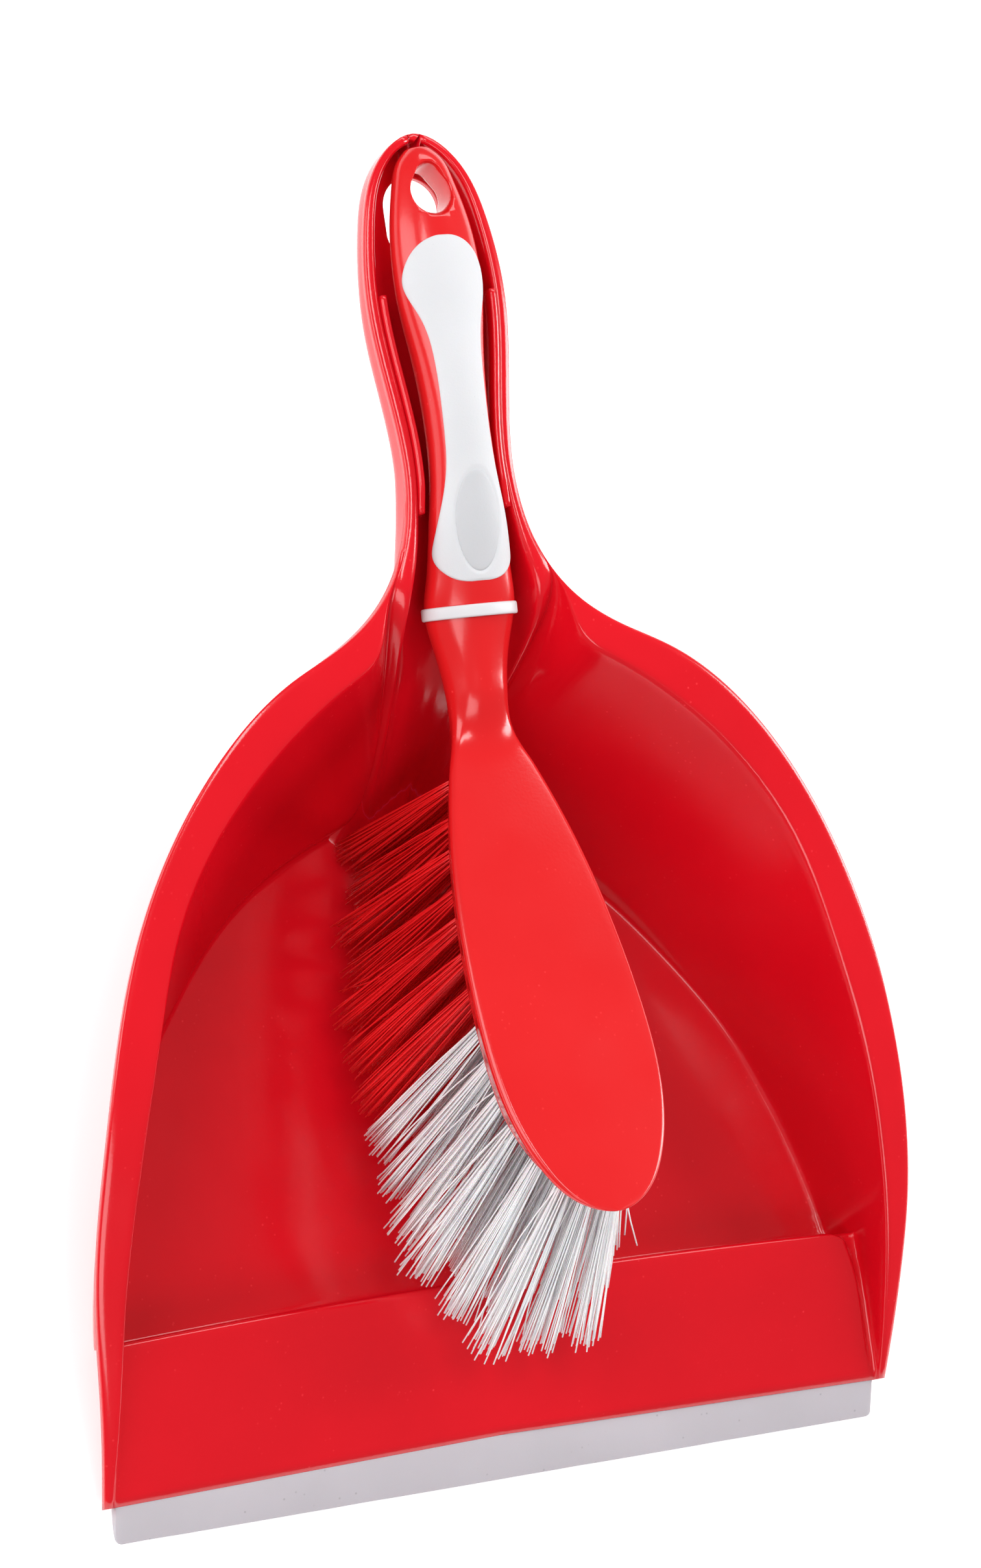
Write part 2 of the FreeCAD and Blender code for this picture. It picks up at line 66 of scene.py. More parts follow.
CHANNEL_TOP = [(45.6, 200.5), (34.2, 205.6), (22.0, 215.5), (15.5, 228.0), (12.4, 253.0),
               (16.2, 291.0), (14.2, 312.0), (9.2, 325.5), (0.0, 331.8)]
CHANNEL_LOW = [(12.5, 200.5), (12.6, 205.6), (12.8, 215.5), (12.9, 228.0), (11.4, 253.0),
               (15.0, 291.0), (13.2, 312.0), (8.6, 325.0), (0.0, 331.2)]
CHANNEL_LOW_Z = 50.0
RAMP_SIDE = [(109.0, 10.7), (107.2, 20.0), (105.4, 31.0), (103.6, 40.5)]
RIM_HEIGHT = [(-30.0, -21.0), (8.0, 5.8), (22.5, 15.3), (44.0, 27.0), (65.5, 36.6), (86.0, 45.0),
              (107.5, 51.8), (139.0, 59.0), (170.0, 67.0), (199.0, 74.4), (216.0, 77.0),
              (245.0, 80.4), (290.0, 85.6), (345.0, 90.4)]
CHANNEL_FLOOR = [(190.0, 48.0), (205.0, 56.2), (216.0, 61.2), (234.0, 68.0), (256.0, 72.5),
                 (282.0, 75.9), (300.0, 78.7), (345.0, 82.6)]
RAMP_HEIGHT = [(-8.0, -2.9), (10.9, 5.7), (25.0, 11.8), (40.0, 17.3), (52.5, 19.4)]
# Where a row of the pan's mesh starts on the centre line, and the y at which the
# same row ends on the outline.
ROW_LINES = [(11.0, 9.0), (30.0, 28.6), (44.0, 42.0), (50.4, 47.7), (53.0, 50.0), (62.0, 59.0),
             (74.0, 97.0), (92.0, 139.0), (116.0, 180.0), (140.0, 199.4), (158.0, 207.0),
             (174.0, 212.1), (196.0, 219.0), (222.0, 229.0), (238.0, 240.0), (253.0, 253.0),
             (300.0, 300.0), (310.0, 316.0), (315.5, 328.0), (318.0, 334.0)]
WALL = 2.4
FLOOR_Z = 2.4
RAMP_START = 11.0
RAMP_BACK = RAMP_HEIGHT[-1][0]
CREST_Y = 50.4
CREST_FOOT_Y = 50.9
CORNER_RADIUS = 8.0
LEDGE = 0.9                     # width of the ledge along the top of the recess
GUTTER_DROP = 4.5               # depth the gutter beside the ramp ends with
GUTTER_RUN = 30.0               # length over which it gets there
CHANNEL_START = CHANNEL_FLOOR[0][0]
SHOULDER = 160.0                # where the tray starts to turn into the channel
OPEN_Z = 200.0                  # stands for "no surface here"
RIM_EDGE = 0.5                  # radius of the rim's outer edge
TOP_ROUNDING, UNDER_ROUNDING, CREST_ROUNDING = 0.75, 0.35, 1.0
RIB_START, RIB_END = 238.0, 293.0

HEAD = [(7.6, 22.0), (8.0, 17.2), (12.5, 0.0), (18.2, -22.5), (21.6, -47.0), (22.8, -67.0),
        (21.6, -88.0), (16.5, -104.4), (10.0, -113.5), (0.0, -117.4)]
HEAD_ORIGIN = (0.0, 172.0, 69.2)
HEAD_TILT = 11.1
HEAD_THICKNESS = 11.0
HANDLE = [(330.2, 89.3, 3.0, 2.4), (327.5, 89.2, 5.8, 4.4), (322.0, 89.0, 8.4, 5.8),
          (312.0, 88.6, 10.8, 6.8), (300.0, 87.8, 12.1, 7.7), (291.0, 86.8, 11.9, 8.2),
          (280.0, 85.5, 10.4, 8.5), (268.0, 84.2, 9.1, 8.6), (256.0, 82.7, 8.7, 8.6),
          (245.0, 81.0, 9.3, 8.5), (234.0, 78.4, 10.6, 8.3), (224.0, 74.9, 11.6, 8.1),
          (213.6, 71.0, 12.2, 7.7), (205.0, 68.6, 10.2, 7.0), (196.0, 67.0, 8.5, 6.4),
          (186.0, 65.8, 8.0, 5.8), (168.0, 64.6, 8.6, 4.6)]
GRIP = [(0.0, 305.5), (7.5, 303.0), (11.2, 295.5), (8.5, 285.0), (6.5, 272.0), (6.3, 258.0),
        (7.0, 246.5), (9.0, 237.0), (10.5, 230.0), (10.5, 224.8), (6.8, 220.4), (0.0, 219.2)]
GRIP_FRONT, GRIP_BACK = 219.2, 305.5
SKIN = 0.38                     # how far the handle itself lies under the soft grip
GRIP_PROUD, GRIP_EDGE, GRIP_SUNK = 0.22, 0.8, 0.25
PAD_MIDDLE, PAD_LONG, PAD_WIDE = 233.8, 12.6, 6.2
PAD_HOLLOW = 0.28
RING_Y, RING_Z, RING_WIDE, RING_HIGH, RING_TILT = 213.6, 71.0, 12.0, 7.55, 10.0
RED_ROWS = [3, 3, 4, 4, 5, 5, 5]
WHITE_ROWS = [5, 5, 5, 5, 4, 3]
ROW_PITCH = 8.95
FIRST_ROW = 1.8
TUFT_PITCH = 7.0
TUFT_LENGTH = 54.5
TUFT_GROWTH = 0.35
TUFT_RADIUS = 1.9
TUFT_FLARE = 0.062              # how far a tuft's own filaments spread
LEAN_MIDDLE = -15.0
LEAN_PER_MM = 0.27
SPREAD_PER_MM = 0.95
FILAMENTS_PER_TUFT = 46
STRAY_SHARE, STRAY_FACTOR = 0.07, 4.0
FIRST_SEED = 300


# ------------------------------------------------------------------ curve helpers
def cubic(knots, values, at):
    """Natural cubic spline through the values, at the given places."""
    knots, values, at = np.asarray(knots, float), np.asarray(values, float), np.asarray(at, float)
    step = np.diff(knots)
    slope = (np.diff(values, axis=0).T / step).T
    count = len(knots)
    matrix = np.eye(count)
    right = np.zeros_like(values)
    for i in range(1, count - 1):
        matrix[i, i - 1:i + 2] = step[i - 1], 2 * (step[i - 1] + step[i]), step[i]
        right[i] = 6 * (slope[i] - slope[i - 1])
    bend = np.linalg.solve(matrix, right)
    i = np.clip(np.searchsorted(knots, at) - 1, 0, count - 2)
    u, h = at - knots[i], step[i]
    if values.ndim == 2:
        u, h = u[:, None], h[:, None]
    return (values[i] + u * (slope[i] - h * (2 * bend[i] + bend[i + 1]) / 6)
            + u * u * bend[i] / 2 + u ** 3 * (bend[i + 1] - bend[i]) / (6 * h))


def height(profile, y):
    """Height of a (y, z) profile at y."""
    table = np.array(profile)
    return cubic(table[:, 0], table[:, 1], y)


def chord(points):
    """Distance along a polyline at each of its points."""
    return np.r_[0, np.cumsum(np.linalg.norm(np.diff(points, axis=0), axis=1))]


def outline(points, count):
    """A half outline as a smooth curve that meets its mirror image squarely."""
    half = np.array(points, float)
    whole = np.vstack([half, half[-2::-1] * [-1, 1]])
    knots = chord(whole)
    place = np.linspace(0, len(half) - 1, count)
    return cubic(knots, whole, np.interp(place, np.arange(len(half)), knots[:len(half)]))


def smoothstep(low, high, x):
    """0 below low, 1 above high, and a smooth step between."""
    t = np.clip((np.asarray(x, float) - low) / (high - low), 0, 1)
    return t * t * (3 - 2 * t)


def blend_max(a, b, k):
    """The higher of two surfaces, with a fillet of about k where they meet."""
    gap = np.maximum(k - np.abs(a - b), 0)
    return np.maximum(a, b) + gap * gap / (4 * k)


def resampled(points, spacing):
    """The polyline's points at even spacing along it, and their places."""
    along = chord(points)
    place = np.linspace(0, along[-1], max(int(along[-1] / spacing), 8))
    return np.column_stack([np.interp(place, along, c) for c in points.T]), place


def rounded(points, sigma, spacing, mirrored):
    """An evenly spaced polyline with every corner rounded by a short Gaussian;
    mirrored if its first point lies on the centre line."""
    reach = int(3 * sigma / spacing) + 1
    kernel = np.exp(-0.5 * (np.arange(-reach, reach + 1) * spacing / sigma) ** 2)
    kernel /= kernel.sum()
    before = points[reach:0:-1].copy()
    if mirrored:
        before[:, 0] *= -1
    else:
        before = 2 * points[0] - before
    after = 2 * points[-1] - points[-2:-reach - 2:-1]
    long = np.vstack([before, points, after])
    return np.column_stack([np.convolve(c, kernel, mode="valid") for c in long.T])


def new_object(name, data):
    """An object that holds the data, linked to the scene."""
    item = bpy.data.objects.new(name, data)
    bpy.context.scene.collection.objects.link(item)
    return item


def make_object(name, vertices, faces, smooth=True):
    """A mesh object from vertices in millimetres, moved into the frame."""
    placed = (np.asarray(vertices, float) + [0, LIP_FRONT, 0]) * MM
    mesh = bpy.data.meshes.new(name)
    mesh.from_pydata(placed.tolist(), [], [tuple(int(i) for i in f) for f in faces])
    mesh.validate()
    if smooth:
        mesh.shade_smooth()
    return new_object(name, mesh)


def grid_faces(rows, columns, start=0, closed=False, flip=False):
    """Quads of a grid of rows by columns, numbered row by row."""
    faces = []
    last = columns if closed else columns - 1
    for r in range(rows - 1):
        for c in range(last):
            a = start + r * columns + c
            b = start + r * columns + (c + 1) % columns
            quad = (a, b, b + columns, a + columns)
            faces.append(quad[::-1] if flip else quad)
    return faces


def tube_faces(rings, columns, turned=False):
    """Faces of a tube of rings with both its ends closed, the ends turned round
    if asked."""
    ends = range(columns - 1, -1, -1), range(columns * (rings - 1), columns * rings)
    faces = grid_faces(rings, columns, closed=True)
    return faces + [tuple(end[::-1] if turned else end) for end in ends]


def tidy_mesh(item, merge=0.0):
    """Welds doubled vertices, drops loose faces and turns the normals outwards."""
    bm = bmesh.new()
    bm.from_mesh(item.data)
    if merge:
        bmesh.ops.remove_doubles(bm, verts=bm.verts, dist=merge)
    bmesh.ops.dissolve_degenerate(bm, edges=bm.edges, dist=1e-7)
    bmesh.ops.recalc_face_normals(bm, faces=bm.faces)
    bm.to_mesh(item.data)
    bm.free()
    item.data.shade_smooth()


def apply_modifiers(item):
    """Replaces an object's mesh by what its modifiers make of it."""
    graph = bpy.context.evaluated_depsgraph_get()
    done = bpy.data.meshes.new_from_object(item.evaluated_get(graph))
    item.modifiers.clear()
    item.data = done


def thicken(item, thickness):
    """Gives a skin its thickness, inwards, in millimetres."""
    modifier = item.modifiers.new("thickness", "SOLIDIFY")
    modifier.thickness = thickness * MM
    modifier.offset = -1
    apply_modifiers(item)
    item.data.shade_smooth()


def cut_away(item, cutter):
    """Cuts a solid out of an object and removes the cutter."""
    modifier = item.modifiers.new("cut", "BOOLEAN")
    modifier.operation = "DIFFERENCE"
    modifier.solver = "EXACT"
    modifier.object = cutter
    apply_modifiers(item)
    bpy.data.objects.remove(cutter)


def join(name, items):
    """One object from several, in the order given."""
    vertices, faces = [], []
    for item in items:
        start = len(vertices)
        vertices += [tuple(item.matrix_world @ v.co) for v in item.data.vertices]
        faces += [tuple(start + i for i in p.vertices) for p in item.data.polygons]
        bpy.data.objects.remove(item)
    mesh = bpy.data.meshes.new(name)
    mesh.from_pydata(vertices, [], faces)
    mesh.shade_smooth()
    return new_object(name, mesh)


# ------------------------------------------------------------------ pan
SPACING = 0.22
CURVE_COUNT = 260
SEGMENTS = [26, 10, 20, 12]     # mesh columns between the corners of a row
ROW_STEP = 1.9
HEIGHT_LEVELS = np.linspace(0, WALL_TOP_Z, 25)
FOOT_CURVE = outline(WALL_FOOT, CURVE_COUNT)
TOP_CURVE = outline(WALL_TOP, CURVE_COUNT)
RECESS_CURVE = outline(RECESS, CURVE_COUNT)
CHANNEL_LOW_CURVE = outline(CHANNEL_LOW, CURVE_COUNT)
CHANNEL_TOP_CURVE = outline(CHANNEL_TOP, CURVE_COUNT)
FLANGE_CURVE = outline(FLANGE, 900)


def crossing(curve, start, end):
    """Share of the way from start to end at which the line meets a half outline,
    or -1 where it doesn't."""
    line = end - start
    rel = curve - start
    side = line[0] * rel[:, 1] - line[1] * rel[:, 0]
    share = rel @ line / (line @ line)
    change = np.where((side[:-1] * side[1:] <= 0) & (share[:-1] > -0.02))[0]
    if not len(change):
        return -1.0
    best = -1.0
    for i in change:
        t = side[i] / (side[i] - side[i + 1]) if side[i] != side[i + 1] else 0.0
        best = max(best, share[i] + t * (share[i + 1] - share[i]))
    return best


def ramp_half_width(y):
    """Half width of the raised ramp, with its rounded rear corners."""
    side = np.array(RAMP_SIDE)
    taper = 0.27 * np.minimum(40 - y, 0)
    straight = np.interp(y, side[:, 1], side[:, 0]) + taper
    arc_start = CREST_Y - CORNER_RADIUS
    drop = np.clip((y - arc_start) / CORNER_RADIUS, 0, 1)
    corner = side[-1, 0] - CORNER_RADIUS + CORNER_RADIUS * np.sqrt(1 - drop ** 2)
    return np.where(y > arc_start, np.minimum(straight, corner), straight)


def wall_shares(start, end):
    """Where the line meets the tray's wall at each height, as (shares, heights)."""
    shares, heights = [], []
    for z in HEIGHT_LEVELS:
        t = z / WALL_TOP_Z
        share = crossing((1 - t) * FOOT_CURVE + t * TOP_CURVE, start, end)
        if share > 1e-3:
            shares.append(share)
            heights.append(z)
    apex = FOOT_CURVE[-1, 1], TOP_CURVE[-1, 1]
    at_spine = np.clip((start[1] - apex[0]) / (apex[1] - apex[0]), 0, 1) * WALL_TOP_Z
    return np.array([0.0] + shares), np.array([at_spine] + heights)


def channel_shares(start, end):
    """The same for the side of the handle's channel."""
    shares, heights = [], []
    for z in np.linspace(CHANNEL_LOW_Z, WALL_TOP_Z, 16):
        t = (z - CHANNEL_LOW_Z) / (WALL_TOP_Z - CHANNEL_LOW_Z)
        share = crossing((1 - t) * CHANNEL_LOW_CURVE + t * CHANNEL_TOP_CURVE, start, end)
        if share > 1e-3:
            shares.append(share)
            heights.append(z)
    return np.array(shares), np.array(heights)


def row_profile(spine_y, outline_y, lift, gutter, edge_round):
    """The pan's upper surface along one row, from the centre line out to the
    rim's outer edge, as x, y, z, and the places of its corners along it. lift is
    the share of the ramp's height that is left in this row; gutter sinks the
    ramp's edge, and edge_round rounds the rim's outer edge."""
    k = np.searchsorted(FLANGE_CURVE[:, 1], outline_y)
    end = FLANGE_CURVE[min(k, len(FLANGE_CURVE) - 1)].copy()
    if 0 < k < len(FLANGE_CURVE):
        a, b = FLANGE_CURVE[k - 1], FLANGE_CURVE[k]
        end = a + (b - a) * (outline_y - a[1]) / max(b[1] - a[1], 1e-9)
    start = np.array([0.0, spine_y])
    length = np.linalg.norm(end - start)
    wall_f, wall_z = wall_shares(start, end)
    channel_f, channel_z = channel_shares(start, end)
    levels = np.linspace(CHANNEL_LOW_Z, WALL_TOP_Z, 200)
    f = np.unique(np.r_[np.linspace(0, 1, 420), wall_f, channel_f,
                        np.interp(np.linspace(0, WALL_TOP_Z, 260), wall_z, wall_f),
                        np.interp(levels, channel_z, channel_f) if len(channel_f) else 0])
    f = f[(f >= 0) & (f <= 1)]
    # Rows near the crest leave the centre line squarely and then bend forward.
    bow = smoothstep(30, 44, spine_y) * (1 - smoothstep(58, 70, spine_y))
    x = end[0] * f
    y = spine_y + (end[1] - spine_y) * ((1 - bow) * f + bow * f * f)
    rim = height(RIM_HEIGHT, y)
    order = np.argsort(wall_f)
    wall = np.interp(f, wall_f[order], wall_z[order])
    # The wall ends at the recess's edge: first a narrow ledge, then a steep riser.
    recess_f = crossing(RECESS_CURVE, start, end)
    if recess_f > 0:
        inside = (recess_f - f) * length
        edge_z = float(np.interp(recess_f, wall_f[order], wall_z[order]))
        riser = edge_z - 0.2 * np.maximum(inside, 0) - 9.0 * np.maximum(inside - LEDGE, 0)
        riser = np.where(inside < 0, OPEN_Z, riser)
        wall = np.minimum(wall, riser)
    foot_round = 2.5 if recess_f <= 0 else 2.5 - 1.1 * smoothstep(56, 80, spine_y)
    tray = blend_max(wall, np.full_like(wall, FLOOR_Z), foot_round)
    if lift > 0:
        front = height(RAMP_HEIGHT, np.minimum(y, RAMP_BACK))
        if gutter:
            drop = GUTTER_DROP * np.clip((y - RAMP_START) / GUTTER_RUN, 0, 1)
            outside = np.maximum(x - ramp_half_width(min(spine_y, CREST_Y)), 0)
            front = blend_max(front - drop, front - 5.0 * outside, 1.0)
        front = FLOOR_Z + lift * (front - FLOOR_Z)
        tray = blend_max(tray, front, (0.6 if gutter else 3.0) * max(lift, 0.02))
    if len(channel_f):
        order = np.argsort(channel_f)
        side = np.interp(f, channel_f[order], channel_z[order])
        floor = height(CHANNEL_FLOOR, np.maximum(y, CHANNEL_START))
        channel = blend_max(side, floor, 1.6)
        channel = np.where(y > CHANNEL_START - 1, channel, OPEN_Z)
        tray = -blend_max(-tray, -channel, 1.2)
    inner = np.where(tray >= rim)[0]
    rim_start = f[inner[0]] if len(inner) else 0.9
    across = np.clip((f - rim_start) / max(1 - rim_start, 1e-6), 0, 1)
    crown = 0.35 * (1 - 2 * across) * (f > rim_start) * (1 - smoothstep(80, 130, y))
    top = np.minimum(tray, rim + crown)
    points = np.column_stack([x, y, top])
    if edge_round:
        inset = np.clip(RIM_EDGE - (1 - f) * length, 0, RIM_EDGE)
        points[:, 2] -= RIM_EDGE - np.sqrt(RIM_EDGE ** 2 - inset ** 2)
    # The corners are the ramp's edge or the riser's foot, the wall's foot or the
    # riser's top, and the rim's inner edge.
    if lift > 0.5 or recess_f <= 0:
        inner_f = float(ramp_half_width(min(spine_y, CREST_Y))) / end[0]
        foot_f = f[np.where(wall >= tray - 0.3)[0][0]]
    elif spine_y < SHOULDER:
        foot_f, inner_f = recess_f, recess_f - 3.2 / length
    else:
        channel_foot = rim_start - 1.2 / length
        blend = smoothstep(SHOULDER, 205, spine_y)
        foot_f = (1 - blend) * max(recess_f, 0.35) + blend * channel_foot
        inner_f = foot_f - 2.5 / length
    even, _ = resampled(points, SPACING)
    smooth = rounded(even, TOP_ROUNDING, SPACING, True)
    smooth[0, 0] = 0.0
    shares = chord(points) / chord(points)[-1]
    marks = [0.0]
    for value in (inner_f, foot_f, rim_start):
        marks.append(float(np.interp(value, f, shares)))
    marks.append(1.0)
    return smooth, np.maximum.accumulate(np.array(marks))


def picked(points, marks):
    """Vertices of a row: a fixed number between each pair of corners, closer
    together at the corners."""
    along = chord(points)
    along = along / along[-1]
    places = []
    for (a, b), count in zip(zip(marks, marks[1:]), SEGMENTS):
        t = (1 - np.cos(np.linspace(0, math.pi, count + 1))) / 2
        t = 0.65 * t + 0.35 * np.linspace(0, 1, count + 1)
        places += list(a + (b - a) * t[:-1])
    places.append(1.0)
    return np.column_stack([np.interp(places, along, c) for c in points.T])


def lowered(points):
    """The underside of a row: the profile moved in by the wall's thickness in the
    row's own plane, without the folds that this makes at tight corners."""
    flat = np.column_stack([np.hypot(points[:, 0], points[:, 1] - points[0, 1]), points[:, 2]])
    tangent = np.gradient(flat, axis=0)
    normal = np.column_stack([-tangent[:, 1], tangent[:, 0]])
    normal /= np.maximum(np.linalg.norm(normal, axis=1), 1e-9)[:, None]
    moved = flat - normal * WALL
    moved[0, 0] = 0.0
    gap = np.linalg.norm(moved[:, None, :] - flat[None, ::2, :], axis=2).min(1)
    keep = gap > WALL * 0.985
    keep[0] = keep[-1] = True
    moved = moved[keep]
    end = flat[-1, 0]
    moved = moved[moved[:, 0] <= end + 1e-9]
    if moved[-1, 0] < end:
        moved = np.vstack([moved, [end, flat[-1, 1] - WALL]])
    share = moved[:, 0] / max(end, 1e-9)
    run = flat[:, 0] / max(end, 1e-9)
    x = np.interp(share, run, points[:, 0])
    y = np.interp(share, run, points[:, 1])
    out = np.column_stack([x, y, np.maximum(moved[:, 1], 0.0)])
    even, _ = resampled(out, SPACING)
    return rounded(even, UNDER_ROUNDING, SPACING, True)


def crest_rows():
    """(spine y, lift) of the rows over the crest, rounded at top and bottom."""
    rise = height(RAMP_HEIGHT, np.array([CREST_Y]))[0] - FLOOR_Z
    path = np.array([(44.0, rise), (CREST_Y, rise), (CREST_FOOT_Y, 0.0), (62.0, 0.0)])
    spacing = 0.1
    even, _ = resampled(path, spacing)
    even = rounded(even, CREST_ROUNDING, spacing, False)
    along = chord(even)
    places = np.linspace(0, along[-1], 44)
    y = np.interp(places, along, even[:, 0])
    lift = np.interp(places, along, even[:, 1]) / rise
    return [(a, float(np.clip(b, 0, 1))) for a, b in zip(y, lift)]


def pan_rows():
    """(spine y, outline y, lift) of every row of the pan's mesh."""
    table = np.array(ROW_LINES)
    lifts = [(y, 1.0) for y in np.linspace(RAMP_START, 43.2, 14)] + crest_rows()
    rows = [(y, float(np.interp(y, table[:, 0], table[:, 1])), lift) for y, lift in lifts]
    along = chord(FLANGE_CURVE)
    begin = np.interp(rows[-1][1], FLANGE_CURVE[:, 1], along)
    count = int((along[-1] - begin) / ROW_STEP)
    for place in np.linspace(begin, along[-1], count + 1)[1:]:
        y = float(np.interp(place, along, FLANGE_CURVE[:, 1]))
        rows.append((float(np.interp(y, table[:, 1], table[:, 0])), y, 0.0))
    return rows


def pan_grids(rows, gutter):
    """Vertices of half the pan's upper and lower surfaces, row by row."""
    tops, bottoms = [], []
    for spine_y, outline_y, lift in rows:
        top, marks = row_profile(spine_y, outline_y, lift, gutter, True)
        tops.append(picked(top, marks))
        plain, marks = row_profile(spine_y, outline_y, lift, gutter, False)
        bottoms.append(picked(lowered(plain), marks))
    tops, bottoms = np.array(tops), np.array(bottoms)
    within_ramp = 1 - smoothstep(100, 104, bottoms[:, :, 0])
    bottoms[:, :, 1] -= crest_shift(rows)[:, None] * within_ramp
    shoulder_smooth(tops, rows, 150, 14)
    shoulder_smooth(bottoms, rows, 66, 40)
    return tops, bottoms


def make_pan():
    """The pan as one closed shell with rounded edges."""
    rows = pan_rows()
    right, left = pan_grids(rows, True), pan_grids(rows, False)
    count, columns = right[0].shape[:2]
    whole = 2 * columns - 1
    vertices = []
    for grid, other in zip(right, left):
        mirrored = other[:, :0:-1] * [-1, 1, 1]
        vertices.append(np.concatenate([mirrored, grid], axis=1).reshape(-1, 3))
    total = count * whole
    faces = grid_faces(count, whole) + grid_faces(count, whole, start=total, flip=True)
    for r in range(count - 1):
        a, b = r * whole, (r + 1) * whole
        faces.append((a, b, b + total, a + total))
        faces.append((b + whole - 1, a + whole - 1, a + whole - 1 + total, b + whole - 1 + total))
    for c in range(whole - 1):
        faces.append((c + 1, c, c + total, c + 1 + total))
    pan = make_object("pan_shell", np.vstack(vertices), faces)
    tidy_mesh(pan, merge=2e-6)
    return pan


def crest_shift(rows):
    """How far the underside of the crest's rear face lies in front of it."""
    lift = np.array([r[2] for r in rows])
    y = np.array([r[0] for r in rows])
    shift = WALL * smoothstep(0.0, 0.15, lift) * smoothstep(48, 52, y)
    return np.where((lift > 0) & (y > 48), shift, 0.0)


def shoulder_smooth(grid, rows, start, passes):
    """Evens out the rows from start to the place where the ribs begin."""
    y = np.array([r[0] for r in rows])
    weight = smoothstep(start, start + 15, y) * (1 - smoothstep(RIB_START - 2, RIB_START + 12, y))
    weight = weight[:, None, None]
    for _ in range(passes):
        even = grid.copy()
        even[1:-1] = (grid[:-2] + 2 * grid[1:-1] + grid[2:]) / 4
        even[:, 0, 0] = 0.0
        grid += weight * (even - grid)


def slot_cutter(half_width, reach, middle_y, low, high):
    """An upright column with round ends, to cut the hanging slot with."""
    sides = 64
    vertices = []
    for z in (low, high):
        for a in np.linspace(0, 2 * math.pi, sides, endpoint=False):
            y = math.sin(a) * half_width
            y += reach if y > 0 else -reach
            vertices.append((math.cos(a) * half_width, middle_y + y, z))
    return make_object("slot_cutter", vertices, tube_faces(2, sides), smooth=False)


def rib_rail(side):
    """Centre line of a retaining rib's top: x, y, z points along the channel's rim."""
    ys = np.linspace(RIB_START, RIB_END, 45)
    top = CHANNEL_TOP_CURVE
    low = CHANNEL_LOW_CURVE
    rim = height(RIM_HEIGHT, ys)
    t = (rim - CHANNEL_LOW_Z) / (WALL_TOP_Z - CHANNEL_LOW_Z)
    x = (1 - t) * np.interp(ys, low[:, 1], low[:, 0]) + t * np.interp(ys, top[:, 1], top[:, 0])
    rise = 0.9 * smoothstep(RIB_START, RIB_START + 8, ys)
    return np.column_stack([side * (x - 0.75), ys, rim + rise])


def make_rib(side):
    """A rib that stands a little above the rim, with rounded top edges."""
    rail = rib_rail(side)
    across = np.array([(-0.85, -9.0), (-0.85, -0.45), (-0.72, -0.14), (-0.42, 0.0),
                       (0.42, 0.0), (0.72, -0.14), (0.85, -0.45), (0.85, -9.0)])
    vertices = [(p[0] + dx, p[1], p[2] + dz) for p in rail for dx, dz in across]
    rib = make_object("rib", vertices, tube_faces(len(rail), len(across), True))
    tidy_mesh(rib)
    return rib


# ------------------------------------------------------------------ rubber lip
LIP_CORNER = 1.8                # rounding of the strip's front corners


def make_lip():
    """Rubber strip with rounded edges, wedge-shaped towards the floor."""
    low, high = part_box("pan_lip")
    half = (high.x - low.x) / 2 / MM
    line = np.array(RAMP_HEIGHT[:2])
    front, back = np.interp([0.0, RAMP_START], line[:, 0], line[:, 1])
    section = [(0.0, 0.05), (0.0, front - 0.02), (RAMP_START, back - 0.05),
               (RAMP_START, back - 3.6), (4.0, 0.05)]
    end = half - LIP_CORNER * (1 - np.cos(np.linspace(0, math.pi / 2, 8)))
    stations = np.r_[-end, np.linspace(-end[-1], end[-1], 76)[1:-1], end[::-1]]
    vertices = []
    for x in stations:
        wave = 0.05 * math.sin(x * 0.11) + 0.03 * math.sin(x * 0.31 + 1)
        near_end = max(LIP_CORNER - (half - abs(x)), 0.0)
        corner = LIP_CORNER - math.sqrt(LIP_CORNER ** 2 - near_end ** 2)
        for y, z in section:
            setback = max(wave, 0.0) + corner if y == 0.0 else 0.0
            vertices.append((x, y + setback, z))
    faces = tube_faces(len(stations), len(section), True)
    lip = make_object("lip_strip", vertices, faces, smooth=False)
    tidy_mesh(lip)
    bevel = lip.modifiers.new("round", "BEVEL")
    bevel.width = 0.55 * MM
    bevel.segments = 3
    bevel.limit_method = "ANGLE"
    bevel.angle_limit = math.radians(25)
    apply_modifiers(lip)
    lip.data.shade_smooth()
    return lip


# ------------------------------------------------------------------ brush
def handle_at(y):
    """Centre height, half width and half height of the handle at y."""
    table = np.array(HANDLE)[::-1]
    inside = np.atleast_1d(np.clip(y, table[0, 0], table[-1, 0]))
    values = cubic(table[:, 0], table[:, 1:], inside)
    thinner = SKIN * smoothstep(214, 224, y)
    return values.T - np.array([0.0, 1.0, 1.0])[:, None] * thinner


def head_half_width(along):
    """Half width of the head at a place along its own axis."""
    curve = outline(HEAD, 400)[::-1]
    return np.interp(along, curve[:, 1], curve[:, 0])


def head_point(x, along, up):
    """A point of the head, from its own axes to the pan's."""
    c, s = math.cos(math.radians(HEAD_TILT)), math.sin(math.radians(HEAD_TILT))
    y, z = np.asarray(along, float), np.asarray(up, float)
    return np.stack(np.broadcast_arrays(x, HEAD_ORIGIN[1] + y * c + z * s,
                                        HEAD_ORIGIN[2] - y * s + z * c), axis=-1)


QUARTER = (12, 7, 5, 7, 10)      # crown, edge arc, side, lower arc, base


